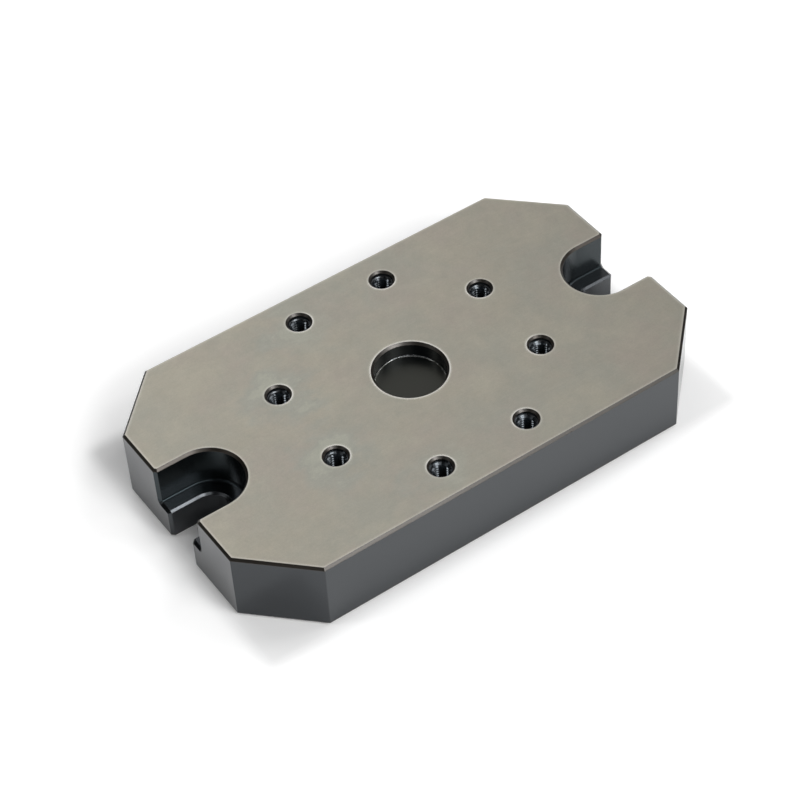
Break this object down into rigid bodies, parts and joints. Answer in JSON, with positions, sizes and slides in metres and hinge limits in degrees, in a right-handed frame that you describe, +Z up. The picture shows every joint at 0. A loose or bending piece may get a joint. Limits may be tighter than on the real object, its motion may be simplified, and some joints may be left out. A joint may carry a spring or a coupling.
{
  "type": "chuck adapter plate",
  "caption": "Flat octagonal steel plate with a stepped open slot in each short end, a blind round centre register and a ring of tapped holes.",
  "frame": {"origin": "middle of the underside, which rests on the machine table", "axes": "+X along the length towards one slotted end, +Y across the width, +Z up out of the chuck face"},
  "size_m": [0.1746, 0.103, 0.026],
  "materials": {
    "black_oxide_steel": "black oxide all over, with the top and bottom faces ground bare to a fine warm grey"
  },
  "bodies": {
    "root": {"adapter_plate": "black_oxide_steel"}
  },
  "joints": []
}
